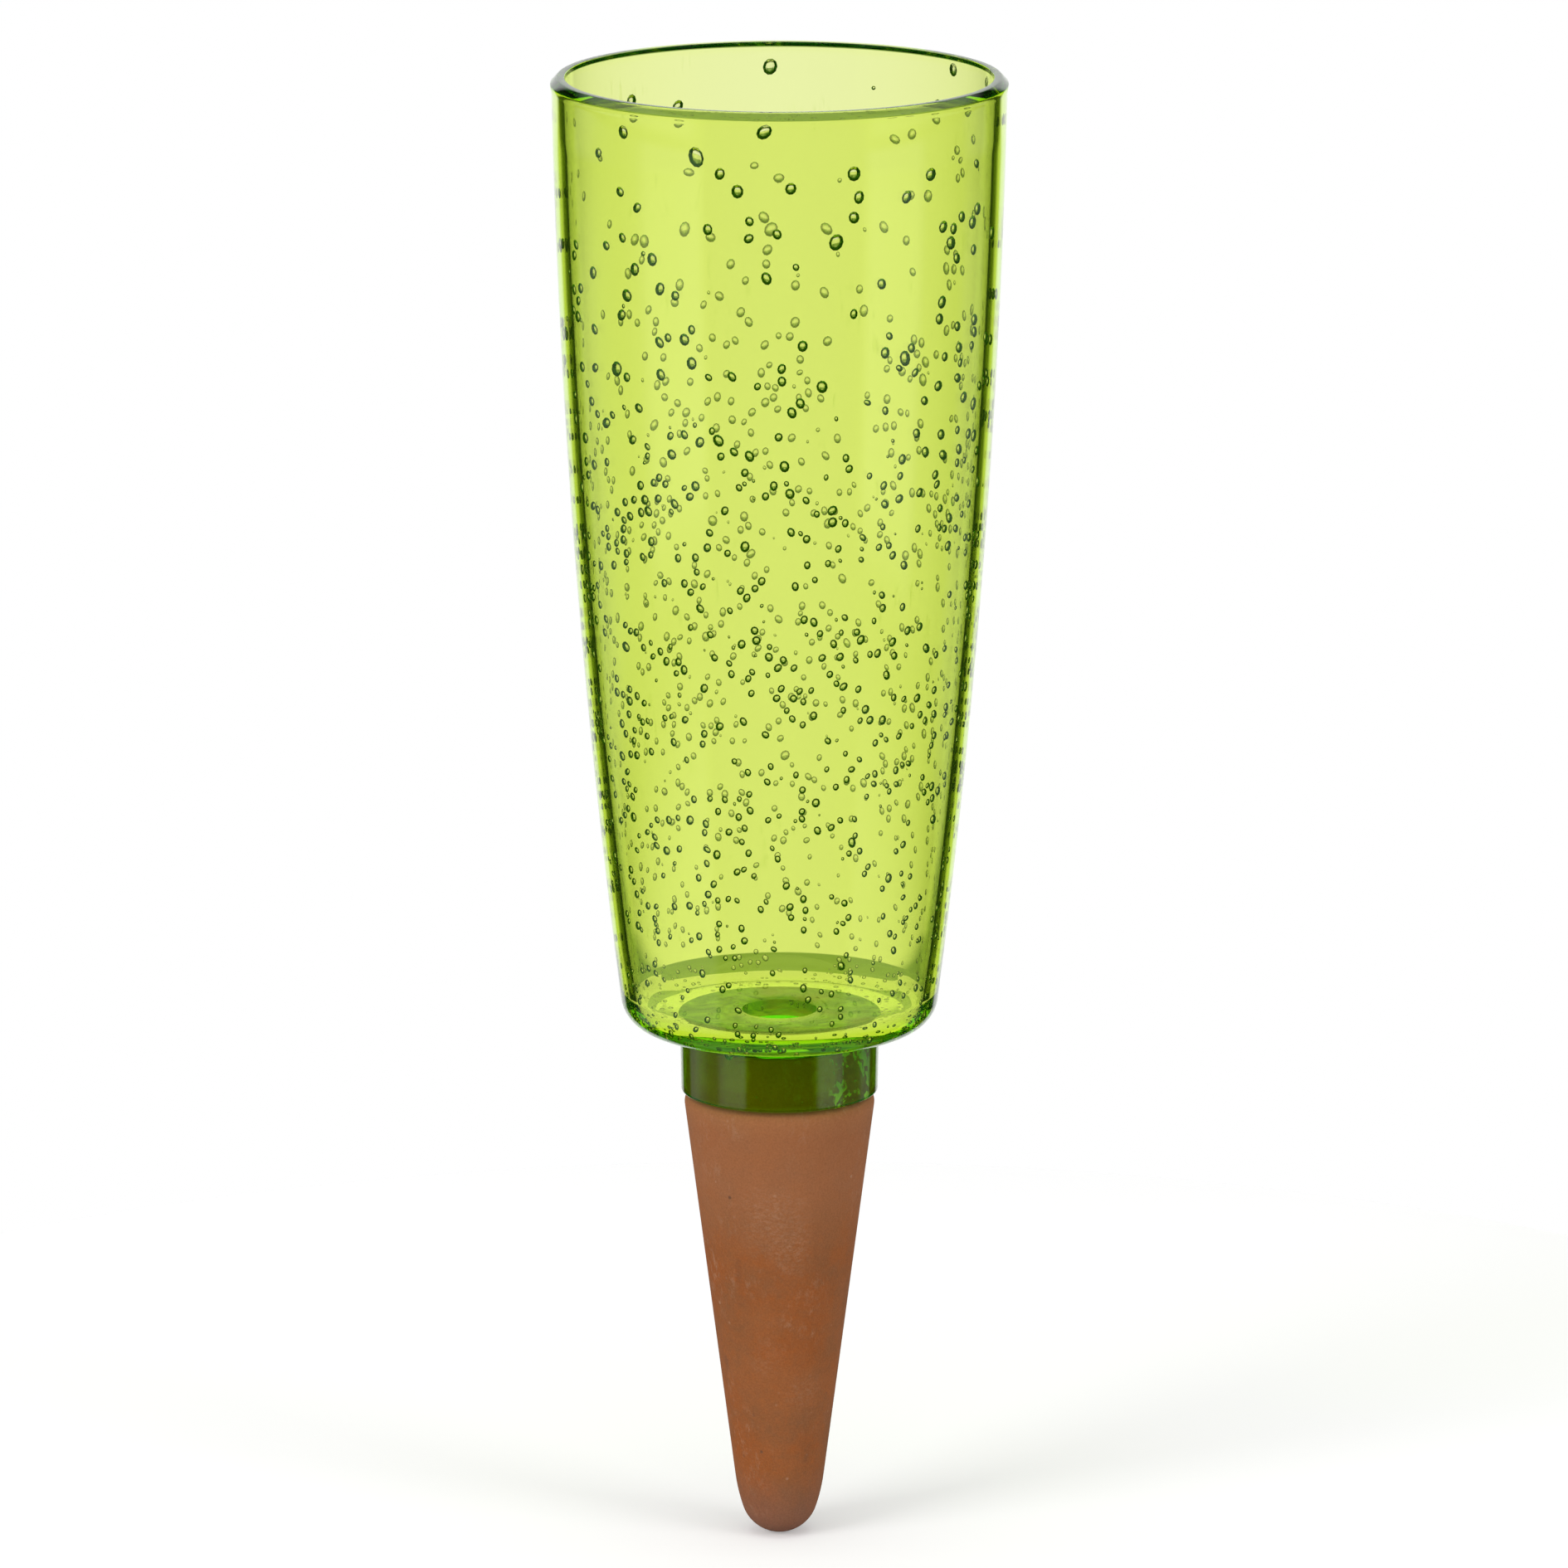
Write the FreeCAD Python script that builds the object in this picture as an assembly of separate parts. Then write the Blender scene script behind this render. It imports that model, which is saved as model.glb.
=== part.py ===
import FreeCAD, Part
import math
import os

# A self watering spike: an open green tumbler full of air bubbles, a short socket collar bonded
# under its floor, and a hollow porous clay cone whose neck is bonded into that collar.
# Millimetres, +Z up. The origin is on the axis, in the plane of the collar's underside, where
# the surface of the soil lies when the cone is pushed in.

# Tumbler
tumbler_height = 213.3        # underside to top face
lip_radius = 50.0             # widest point of the lip
lip_overhang = 0.28           # how far the lip stands out from the wall under it
lip_drop = 1.7                # height of the lip under its widest point
wall_thickness = 3.0
wall_bow = 2.865              # how far the wall's middle stands outside a straight taper
foot_overhang = 11.79         # from the collar's bead out to where the wall would meet the underside
foot_round = 7.2
floor_thickness = 3.3
floor_round = 4.0             # inside, where the wall meets the floor
drain_radius = 8.3            # the way down for the water
rim_chamfer_share = 0.5       # of the wall's thickness, outside
rim_inner_round_share = 0.13  # of the wall's thickness

# Socket collar under the floor
collar_height = 14.6
collar_radius = 21.9          # at the mouth
collar_draft = 0.26           # how much wider it is at the top
collar_edge_round = 0.5
collar_wall = 3.1             # at the mouth
collar_web = 2.6              # the plate that closes its top, around the drain hole

# Adhesive
floor_bond = 0.25             # film between the floor and the collar's web
bond_bead = 0.5               # what is squeezed out around the collar's top edge
neck_bond = 0.3               # sleeve around the clay neck, and the film above it
groove_bead_share = 0.36      # how far the sleeve spreads over the shoulder's rounded edge

# Clay cone
cone_length = 102.7           # shoulder to tip
shoulder_setback = 0.4        # the shoulder's corner lies this far inside the collar's edge
shoulder_gap = 0.3            # between the collar's underside and the shoulder
shoulder_round = 2.5
shoulder_round_limit_share = 0.95
neck_wall = 5.0
neck_edge_round = 0.8
nose_radius = 8.63
nose_swell = 0.59             # how far the straight side passes outside the nose's own circle
nose_blend_radius = 39.6      # between the straight side and the nose
nose_wall = 6.0               # clay under the water chamber
chamber_end_radius = 4.0

# Levels
floor_underside = collar_height + floor_bond
floor_top = floor_underside + floor_thickness
rim_top = floor_underside + tumbler_height
rim_chamfer = rim_chamfer_share * wall_thickness
lip_level = rim_top - rim_chamfer
web_underside = collar_height - collar_web
neck_top = web_underside - neck_bond
shoulder_level = -shoulder_gap
tip_level = shoulder_level - cone_length
nose_level = tip_level + nose_radius

# Radii
collar_top_radius = collar_radius + collar_draft
bead_radius = collar_top_radius + bond_bead
foot_radius = bead_radius + foot_overhang
socket_radius = collar_radius - collar_wall
neck_radius = socket_radius - neck_bond
chamber_mouth_radius = neck_radius - neck_wall
shoulder_radius = collar_radius - shoulder_setback

# Directions in the half section, counted from +X towards +Z
up = math.pi / 2
down = -up
half_turn = math.pi

# The clay side runs from the shoulder's corner past the nose; its outward normal points this way
side_touch_radius = nose_radius + nose_swell
side_rise = shoulder_level - nose_level
side_normal = math.atan2(side_rise, shoulder_radius) - math.acos(
    side_touch_radius / math.hypot(shoulder_radius, side_rise)
)

# The shoulder's rounded edge takes up most of the shoulder at most
shoulder_slack = math.tan((up + side_normal) / 2)
shoulder_width = shoulder_radius - neck_radius
shoulder_ease = min(shoulder_round, shoulder_round_limit_share * shoulder_width * shoulder_slack)
shoulder_flat_end = shoulder_radius - shoulder_ease / shoulder_slack


def at(radius, height):
    return FreeCAD.Vector(radius, 0, height)


def toward(angle):
    return at(math.cos(angle), math.sin(angle))


def arc_about(centre, radius, start_angle, end_angle):
    middle_angle = (start_angle + end_angle) / 2
    angles = (start_angle, middle_angle, end_angle)
    return Part.Arc(*[centre + toward(angle) * radius for angle in angles]).toShape()


def angle_of(point, centre):
    return math.atan2(point.z - centre.z, point.x - centre.x)


def line(start, end):
    return Part.LineSegment(start, end).toShape()


def path(*corners):
    # straight edges from corner to corner; a corner is a point and the radius that eases it
    edges = []
    last = corners[0][0]
    for before, corner, after in zip(corners, corners[1:], corners[2:]):
        point, ease = corner
        if ease == 0:
            edges.append(line(last, point))
            last = point
            continue
        inward = (before[0] - point).normalize()
        outward = (after[0] - point).normalize()
        half_angle = inward.getAngle(outward) / 2
        reach = ease / math.tan(half_angle)
        bisector = (inward + outward).normalize()
        centre = point + bisector * (ease / math.sin(half_angle))
        start = point + inward * reach
        end = point + outward * reach
        edges.append(line(last, start))
        edges.append(Part.Arc(start, centre - bisector * ease, end).toShape())
        last = end
    edges.append(line(last, corners[-1][0]))
    return edges


def turned(edges):
    # the solid that a closed half section sweeps about the axis
    return Part.Face(Part.Wire(edges)).revolve(at(0, 0), FreeCAD.Vector(0, 0, 1), 360)


def wall_circle():
    # the outside of the wall is one long arc of this circle
    lip_foot = at(lip_radius - lip_overhang, lip_level - lip_drop)
    foot = at(foot_radius, floor_underside)
    middle = (lip_foot + foot) / 2 + at(wall_bow, 0)
    return Part.Arc(lip_foot, middle, foot).toShape().Curve


def on_circle(centre, radius, height):
    rise = height - centre.z
    return at(centre.x + math.sqrt(radius**2 - rise**2), height)


def reservoir():
    outer = wall_circle()
    centre = outer.Center
    inner_radius = outer.Radius - wall_thickness
    foot = on_circle(centre, outer.Radius - foot_round, floor_underside + foot_round)
    cove = on_circle(centre, inner_radius - floor_round, floor_top + floor_round)
    rim_inner_round = rim_inner_round_share * wall_thickness
    brink = on_circle(centre, inner_radius + rim_inner_round, rim_top - rim_inner_round)
    foot_angle = angle_of(foot, centre)
    cove_angle = angle_of(cove, centre)
    brink_angle = angle_of(brink, centre)

    lip_foot = at(lip_radius - lip_overhang, lip_level - lip_drop)
    lip_curve = (lip_drop**2 + lip_overhang**2) / (2 * lip_overhang)
    lip_centre = at(lip_radius - lip_curve, lip_level)
    chamfer_top = at(lip_radius - rim_chamfer, rim_top)
    drain_top = at(drain_radius, floor_top)
    drain_foot = at(drain_radius, floor_underside)
    bond_edge = at(bead_radius, floor_underside)

    edges = [
        arc_about(centre, outer.Radius, foot_angle, angle_of(lip_foot, centre)),
        arc_about(lip_centre, lip_curve, angle_of(lip_foot, lip_centre), 0),
        line(at(lip_radius, lip_level), chamfer_top),
        line(chamfer_top, at(brink.x, rim_top)),
        arc_about(brink, rim_inner_round, up, half_turn + brink_angle),
        arc_about(centre, inner_radius, brink_angle, cove_angle),
        arc_about(cove, floor_round, cove_angle, down),
        line(at(cove.x, floor_top), drain_top),
        line(drain_top, drain_foot),
        # the underside is bonded as far as the bead and free beyond it
        line(drain_foot, bond_edge),
        line(bond_edge, at(foot.x, floor_underside)),
        arc_about(foot, foot_round, down, foot_angle),
    ]
    return turned(edges)


def base_bond():
    return turned(
        path(
            (at(drain_radius, collar_height), 0),
            (at(drain_radius, floor_underside), 0),
            (at(bead_radius, floor_underside), 0),
            (at(collar_top_radius, collar_height), 0),
            (at(drain_radius, collar_height), 0),
        )
    )


def socket_collar():
    return turned(
        path(
            (at(socket_radius, 0), 0),
            (at(collar_radius, 0), collar_edge_round),
            (at(collar_top_radius, collar_height), 0),
            (at(drain_radius, collar_height), 0),
            (at(drain_radius, web_underside), 0),
            (at(socket_radius, web_underside), 0),
            (at(socket_radius, 0), 0),
        )
    )


def clay_cone():
    # The blend arc touches the straight side and the nose.
    nose_centre = at(0, nose_level)
    nose_to_blend = nose_blend_radius - nose_radius
    climb = math.sqrt(nose_to_blend**2 - (nose_to_blend - nose_swell) ** 2)
    side_end = nose_centre + toward(side_normal) * side_touch_radius + toward(side_normal + up) * climb
    blend_centre = side_end - toward(side_normal) * nose_blend_radius
    blend_angle = angle_of(nose_centre, blend_centre)

    # The chamber's side runs from the mouth and touches the chamber's round end.
    chamber_top = at(chamber_mouth_radius, neck_top)
    chamber_end = at(0, tip_level + nose_wall + chamber_end_radius)
    touch = math.acos(chamber_end_radius / (chamber_top - chamber_end).Length)
    chamber_angle = angle_of(chamber_top, chamber_end) - touch

    edges = path(
        (chamber_end + toward(chamber_angle) * chamber_end_radius, 0),
        (chamber_top, neck_edge_round),
        (at(neck_radius, neck_top), neck_edge_round),
        (at(neck_radius, shoulder_level), 0),
        (at(shoulder_radius, shoulder_level), shoulder_ease),
        (side_end, 0),
    )
    edges.append(arc_about(blend_centre, nose_blend_radius, side_normal, blend_angle))
    edges.append(arc_about(nose_centre, nose_radius, blend_angle, down))
    edges.append(line(at(0, tip_level), at(0, tip_level + nose_wall)))
    edges.append(arc_about(chamber_end, chamber_end_radius, down, chamber_angle))
    return turned(edges)


def neck_sleeve():
    # the adhesive around the neck and over its top, and a small bead in the groove under the collar
    ease_centre = at(shoulder_flat_end, shoulder_level - shoulder_ease)
    bead_angle = math.acos(groove_bead_share)
    bead_foot = ease_centre + toward(bead_angle) * shoulder_ease
    film_end = chamber_mouth_radius + neck_edge_round
    edges = path(
        (at(shoulder_flat_end, shoulder_level), 0),
        (at(neck_radius, shoulder_level), 0),
        (at(neck_radius, neck_top), neck_edge_round),
        (at(film_end, neck_top), 0),
        (at(film_end, web_underside), 0),
        (at(socket_radius, web_underside), 0),
        (at(socket_radius, 0), 0),
        (at(bead_foot.x, 0), 0),
        (bead_foot, 0),
    )
    edges.append(arc_about(ease_centre, shoulder_ease, bead_angle, up))
    return turned(edges)


nodes = {
    "reservoir": reservoir,
    "base_bond": base_bond,
    "socket_collar": socket_collar,
    "neck_bond": neck_sleeve,
    "clay_cone": clay_cone,
}

os.makedirs("parts", exist_ok=True)
for node, build in nodes.items():
    shape = build()
    shape.exportStep("parts/" + node + ".step")
    box = shape.BoundBox
    print(node, shape.isValid(), "%.1f mm3, Z %.2f to %.2f" % (shape.Volume, box.ZMin, box.ZMax))
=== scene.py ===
import math
import random

import bmesh
import bpy
from mathutils import Matrix, Vector


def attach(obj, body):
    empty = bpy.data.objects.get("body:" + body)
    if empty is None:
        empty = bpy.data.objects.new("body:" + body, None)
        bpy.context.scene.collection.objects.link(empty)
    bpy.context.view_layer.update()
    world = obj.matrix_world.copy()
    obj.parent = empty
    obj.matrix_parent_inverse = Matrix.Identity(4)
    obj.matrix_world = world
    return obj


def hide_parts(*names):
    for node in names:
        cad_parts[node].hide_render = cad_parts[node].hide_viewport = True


# Self watering spike: a green tumbler full of air bubbles, a glossy collar bonded under its
# floor and a clay cone bonded into the collar. Sizes are in millimetres, the scene in metres.

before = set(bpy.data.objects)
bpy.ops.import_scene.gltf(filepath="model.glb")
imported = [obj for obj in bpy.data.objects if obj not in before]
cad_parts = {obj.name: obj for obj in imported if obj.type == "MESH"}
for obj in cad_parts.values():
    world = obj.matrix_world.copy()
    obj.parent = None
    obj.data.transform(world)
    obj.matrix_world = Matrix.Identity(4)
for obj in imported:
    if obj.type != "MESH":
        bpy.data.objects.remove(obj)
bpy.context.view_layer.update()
mm = 0.001
seamGap = 1e-6     # metres: points this close are one point after turning
pointGap = 1e-7    # metres: points this close are one point in a section
scene = bpy.context.scene


def startAt(bm, radius, height):
    return bm.verts.new((radius * mm, 0, height * mm))


def lineTo(bm, vert, radius, height, pieces=1):
    step = (Vector((radius * mm, 0, height * mm)) - vert.co) / pieces
    for _ in range(pieces):
        vert = bmesh.ops.extrude_vert_indiv(bm, verts=[vert])["verts"][0]
        bmesh.ops.translate(bm, verts=[vert], vec=step)
    return vert


def arcTo(bm, vert, centre, degrees, pieces):
    # positive degrees turn from +X towards +Z
    swept = bmesh.ops.spin(
        bm, geom=[vert], cent=(centre[0] * mm, 0, centre[1] * mm), axis=(0, -1, 0),
        angle=math.radians(degrees), steps=pieces,
    )
    return [g for g in swept["geom_last"] if isinstance(g, bmesh.types.BMVert)][0]


def turnSection(bm, steps):
    # sweeps the half section about the axis; faces point out of the material
    bmesh.ops.remove_doubles(bm, verts=bm.verts, dist=pointGap)
    bmesh.ops.spin(
        bm, geom=bm.verts[:] + bm.edges[:], cent=(0, 0, 0), axis=(0, 0, 1),
        angle=math.tau, steps=steps, use_merge=True,
    )
    bmesh.ops.remove_doubles(bm, verts=bm.verts, dist=seamGap)
    bmesh.ops.dissolve_degenerate(bm, edges=bm.edges, dist=pointGap)
    bmesh.ops.recalc_face_normals(bm, faces=bm.faces)


def softenRings(bm, rings, width, segments=2, near=0.01):
    # small bevels on the rings at these radii and heights

    def onRing(vert):
        around = math.hypot(vert.co.x, vert.co.y) / mm
        return any(abs(around - radius) < near and abs(vert.co.z / mm - height) < near
                   for radius, height in rings)

    edges = [e for e in bm.edges if onRing(e.verts[0]) and onRing(e.verts[1])
             and abs(e.verts[0].co.z - e.verts[1].co.z) < seamGap]
    bmesh.ops.bevel(bm, geom=edges, offset=width * mm, segments=segments, profile=0.5,
                    affect="EDGES", material=-1)


def makePiece(name, bm, material, node, sharpDegrees=32):
    mesh = bpy.data.meshes.new(name)
    bm.to_mesh(mesh)
    bm.free()
    mesh.shade_smooth()
    mesh.set_sharp_from_angle(angle=math.radians(sharpDegrees))
    mesh.materials.append(material)
    piece = bpy.data.objects.new(name, mesh)
    scene.collection.objects.link(piece)
    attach(piece, "root")
    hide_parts(node)
    return piece


def newMaterial(name):
    material = bpy.data.materials.new(name)
    material.use_nodes = True
    material.node_tree.nodes.clear()
    return material, material.node_tree


def addNode(tree, kind, inputs=None, **settings):
    node = tree.nodes.new(kind)
    for key, value in settings.items():
        setattr(node, key, value)
    for key, value in (inputs or {}).items():
        socket = node.inputs[key]
        if isinstance(value, bpy.types.NodeSocket):
            tree.links.new(value, socket)
        else:
            socket.default_value = value
    return node


def newGroup(name, inputs, outputs):
    tree = bpy.data.node_groups.new(name, "ShaderNodeTree")
    for label, kind, value in inputs:
        socket = tree.interface.new_socket(label, in_out="INPUT", socket_type=kind)
        if value is not None:
            socket.default_value = value
    for label, kind in outputs:
        tree.interface.new_socket(label, in_out="OUTPUT", socket_type=kind)
    return tree, tree.nodes.new("NodeGroupInput").outputs, tree.nodes.new("NodeGroupOutput").inputs


def handledSkin():
    # what moulding and handling leave on clear plastic: slow waves, haze and dried streaks
    tree, given, wanted = newGroup(
        "handledSkin",
        [("Vector", "NodeSocketVector", None), ("Wave Scale", "NodeSocketFloat", 40.0),
         ("Haze Scale", "NodeSocketFloat", 14.0), ("Polish", "NodeSocketFloat", 0.0),
         ("Haze", "NodeSocketFloat", 0.03)],
        [("Height", "NodeSocketFloat"), ("Roughness", "NodeSocketFloat"),
         ("Streaks", "NodeSocketFloat")],
    )
    wave = addNode(tree, "ShaderNodeTexNoise", {
        "Vector": given["Vector"], "Scale": given["Wave Scale"], "Detail": 1.0})
    smear = addNode(tree, "ShaderNodeTexNoise", {
        "Vector": given["Vector"], "Scale": given["Haze Scale"], "Detail": 3.0, "Roughness": 0.6})
    haze = addNode(tree, "ShaderNodeMapRange", {
        "Value": smear.outputs["Fac"], "From Min": 0.5, "From Max": 0.75,
        "To Min": given["Polish"], "To Max": given["Haze"]})
    drawn = addNode(tree, "ShaderNodeVectorMath", {
        0: given["Vector"], 1: (1.0, 1.0, 0.22)}, operation="MULTIPLY")
    fine = addNode(tree, "ShaderNodeTexNoise", {
        "Vector": drawn.outputs[0], "Scale": 520.0, "Detail": 2.0, "Roughness": 0.65})
    where = addNode(tree, "ShaderNodeTexNoise", {
        "Vector": given["Vector"], "Scale": 62.0, "Detail": 1.0})
    line = addNode(tree, "ShaderNodeMapRange", {
        "Value": fine.outputs["Fac"], "From Min": 0.6, "From Max": 0.72})
    spot = addNode(tree, "ShaderNodeMapRange", {
        "Value": where.outputs["Fac"], "From Min": 0.6, "From Max": 0.7})
    streaks = addNode(tree, "ShaderNodeMath", {
        0: line.outputs[0], 1: spot.outputs[0]}, operation="MULTIPLY")
    tree.links.new(wave.outputs["Fac"], wanted["Height"])
    tree.links.new(haze.outputs[0], wanted["Roughness"])
    tree.links.new(streaks.outputs[0], wanted["Streaks"])
    return tree


def milkyPatches():
    # patches where adhesive holds fine air, brownish where it is thin over the clay
    tree, given, wanted = newGroup(
        "milkyPatches",
        [("Vector", "NodeSocketVector", None), ("Scale", "NodeSocketFloat", 210.0),
         ("Detail", "NodeSocketFloat", 5.0), ("Upright", "NodeSocketFloat", 1.0),
         ("Thin", "NodeSocketFloat", 0.3), ("Thick", "NodeSocketFloat", 0.6),
         ("Least", "NodeSocketFloat", 0.0), ("Most", "NodeSocketFloat", 1.0),
         ("Aim", "NodeSocketVector", (1.0, 0.0, 0.0)), ("Aim From", "NodeSocketFloat", -0.06),
         ("Aim Full", "NodeSocketFloat", -0.05), ("Deep Tone", "NodeSocketColor", (0.2, 0.4, 0.02, 1)),
         ("Pale Tone", "NodeSocketColor", (0.5, 0.7, 0.05, 1)),
         ("Thin Tone", "NodeSocketColor", (0.4, 0.4, 0.06, 1))],
        [("Share", "NodeSocketFloat"), ("Tone", "NodeSocketColor")],
    )
    stretch = addNode(tree, "ShaderNodeCombineXYZ", {"X": 1.0, "Y": 1.0, "Z": given["Upright"]})
    drawn = addNode(tree, "ShaderNodeVectorMath", {
        0: given["Vector"], 1: stretch.outputs[0]}, operation="MULTIPLY")
    cloud = addNode(tree, "ShaderNodeTexNoise", {
        "Vector": drawn.outputs[0], "Scale": given["Scale"], "Detail": given["Detail"],
        "Roughness": 0.65, "Distortion": 0.6})
    milky = addNode(tree, "ShaderNodeMapRange", {
        "Value": cloud.outputs["Fac"], "From Min": given["Thin"], "From Max": given["Thick"],
        "To Min": given["Least"], "To Max": given["Most"]})
    aimed = addNode(tree, "ShaderNodeVectorMath", {
        0: given["Vector"], 1: given["Aim"]}, operation="DOT_PRODUCT")
    reach = addNode(tree, "ShaderNodeMapRange", {
        "Value": aimed.outputs["Value"], "From Min": given["Aim From"], "From Max": given["Aim Full"]})
    share = addNode(tree, "ShaderNodeMath", {
        0: milky.outputs[0], 1: reach.outputs[0]}, operation="MULTIPLY")
    drift = addNode(tree, "ShaderNodeTexNoise", {
        "Vector": given["Vector"], "Scale": 130.0, "Detail": 4.0, "Roughness": 0.6, "Distortion": 0.8})
    pale = addNode(tree, "ShaderNodeMapRange", {
        "Value": drift.outputs["Fac"], "From Min": 0.36, "From Max": 0.62})
    tone = addNode(tree, "ShaderNodeMix", {
        0: pale.outputs[0], 6: given["Deep Tone"], 7: given["Pale Tone"]}, data_type="RGBA")
    patch = addNode(tree, "ShaderNodeTexNoise", {
        "Vector": given["Vector"], "Scale": 48.0, "Detail": 3.0})
    brown = addNode(tree, "ShaderNodeMapRange", {
        "Value": patch.outputs["Fac"], "From Min": 0.5, "From Max": 0.64, "To Max": 0.7})
    tone = addNode(tree, "ShaderNodeMix", {
        0: brown.outputs[0], 6: tone.outputs[2], 7: given["Thin Tone"]}, data_type="RGBA")
    tree.links.new(share.outputs[0], wanted["Share"])
    tree.links.new(tone.outputs[2], wanted["Tone"])
    return tree


skinGroup = handledSkin()
patchGroup = milkyPatches()


def clearPlastic(name, look):
    # polished see-through plastic: coloured through its depth; lamps shine through it
    material, tree = newMaterial(name)
    place = addNode(tree, "ShaderNodeTexCoord")
    skin = addNode(tree, "ShaderNodeGroup", node_tree=skinGroup)
    tree.links.new(place.outputs["Object"], skin.inputs["Vector"])
    for label in ("Wave Scale", "Haze Scale", "Polish", "Haze"):
        skin.inputs[label].default_value = look[label]
    ripple = addNode(tree, "ShaderNodeBump", {
        "Height": skin.outputs["Height"], "Distance": look["waveHeight"] * mm, "Strength": 1.0})
    # the plastic looks deeper where it is seen edge on; on a bubble's skin the darker edge tint is
    # painted shade round its rim
    slant = addNode(tree, "ShaderNodeLayerWeight", {"Blend": 0.5})
    edge = addNode(tree, "ShaderNodeMath", {
        0: slant.outputs["Facing"], 1: look["edgePower"]}, operation="POWER")
    deep = addNode(tree, "ShaderNodeMix", {
        0: edge.outputs[0], 6: (*look["faceTint"], 1), 7: (*look["edgeTint"], 1)}, data_type="RGBA")
    marked = addNode(tree, "ShaderNodeMix", {
        0: skin.outputs["Streaks"], 6: deep.outputs[2], 7: (*look["streakTint"], 1)}, data_type="RGBA")
    plastic = addNode(tree, "ShaderNodeBsdfPrincipled", {
        "Base Color": marked.outputs[2], "Roughness": skin.outputs["Roughness"],
        "IOR": look["ior"], "Transmission Weight": 1.0, "Normal": ripple.outputs["Normal"]})
    lampPass = addNode(tree, "ShaderNodeBsdfTransparent", {"Color": (*look["lampTint"], 1)})
    path = addNode(tree, "ShaderNodeLightPath")
    body = plastic.outputs["BSDF"]
    if look["milky"]:
        patches = addNode(tree, "ShaderNodeGroup", node_tree=patchGroup)
        tree.links.new(place.outputs["Object"], patches.inputs["Vector"])
        for label, value in look["milky"].items():
            patches.inputs[label].default_value = value
        milk = addNode(tree, "ShaderNodeBsdfPrincipled", {
            "Base Color": patches.outputs["Tone"], "Roughness": 0.5,
            "Normal": ripple.outputs["Normal"]})
        body = addNode(tree, "ShaderNodeMixShader", {
            0: patches.outputs["Share"], 1: body, 2: milk.outputs["BSDF"]}).outputs["Shader"]
    if look["shadeTone"]:
        # painted shade: a dark green matte is mixed into a bubble's skin below and towards the near
        # side edge (a painted crescent) and round its rim (a painted outline); the bubble is also made
        # fainter on the far side
        behind = addNode(tree, "ShaderNodeNewGeometry").outputs["Backfacing"]
        flip = addNode(tree, "ShaderNodeMath", {0: behind, 1: -2.0, 2: 1.0}, operation="MULTIPLY_ADD")
        inward = addNode(tree, "ShaderNodeVectorMath", {
            0: place.outputs["Normal"], "Scale": flip.outputs[0]}, operation="SCALE")
        where = addNode(tree, "ShaderNodeSeparateXYZ", {0: place.outputs["Object"]})
        lean = addNode(tree, "ShaderNodeMath", {
            0: where.outputs["X"], 1: -look["shadeLean"]}, operation="MULTIPLY")
        dark = addNode(tree, "ShaderNodeCombineXYZ", {"X": lean.outputs[0], "Z": 1.0})
        under = addNode(tree, "ShaderNodeVectorMath", {
            0: inward.outputs[0], 1: dark.outputs[0]}, operation="DOT_PRODUCT")
        crescentShade = addNode(tree, "ShaderNodeMapRange", {
            "Value": under.outputs["Value"], "From Min": -0.05, "From Max": 0.6,
            "To Max": look["shadeShare"]})
        turned = addNode(tree, "ShaderNodeMapRange", {
            "Value": slant.outputs["Facing"], "From Min": 0.02, "From Max": 0.17})
        crescentShade = addNode(tree, "ShaderNodeMath", {
            0: crescentShade.outputs[0], 1: turned.outputs[0]}, operation="MULTIPLY")
        outlineShade = addNode(tree, "ShaderNodeMapRange", {
            "Value": slant.outputs["Facing"], "From Min": 0.26, "From Max": 0.7,
            "To Max": look["shadeRingShare"]})
        shaded = addNode(tree, "ShaderNodeMath", {
            0: crescentShade.outputs[0], 1: outlineShade.outputs[0]}, operation="MAXIMUM")
        shade = addNode(tree, "ShaderNodeBsdfPrincipled", {
            "Base Color": (*look["shadeTone"], 1), "Roughness": 0.8, "Specular IOR Level": 0.0})
        body = addNode(tree, "ShaderNodeMixShader", {
            0: shaded.outputs[0], 1: body, 2: shade.outputs["BSDF"]}).outputs["Shader"]
        far = addNode(tree, "ShaderNodeMapRange", {
            "Value": path.outputs["Transmission Depth"], "From Min": 2.2, "From Max": 2.8,
            "To Max": look["farShare"]})
        clear = addNode(tree, "ShaderNodeBsdfTransparent", {"Color": (1.0, 1.0, 1.0, 1.0)})
        body = addNode(tree, "ShaderNodeMixShader", {
            0: far.outputs[0], 1: body, 2: clear.outputs["BSDF"]}).outputs["Shader"]
    surface = addNode(tree, "ShaderNodeMixShader", {
        0: path.outputs["Is Shadow Ray"], 1: body, 2: lampPass.outputs["BSDF"]})
    output = addNode(tree, "ShaderNodeOutputMaterial", {"Surface": surface.outputs["Shader"]})
    if look["depthDensity"]:
        depth = addNode(tree, "ShaderNodeVolumeAbsorption", {
            "Color": (*look["depthColor"], 1), "Density": look["depthDensity"]})
        tree.links.new(depth.outputs["Volume"], output.inputs["Volume"])
    return material


tumblerLook = {
    "ior": 1.49,
    "Polish": 0.0,
    "Haze": 0.03,
    "Haze Scale": 14.0,
    "Wave Scale": 40.0,
    "waveHeight": 0.02,
    "faceTint": (1.0, 1.0, 1.0),
    "edgeTint": (0.84, 0.95, 0.7),
    "edgePower": 3.0,
    "streakTint": (0.86, 0.9, 0.72),
    "lampTint": (0.96, 0.96, 0.96),
    "milky": None,
    "shadeTone": None,
    "depthColor": (0.87, 0.96, 0.06),   # lets red and green through and holds blue back
    "depthDensity": 302.0,
}
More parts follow.
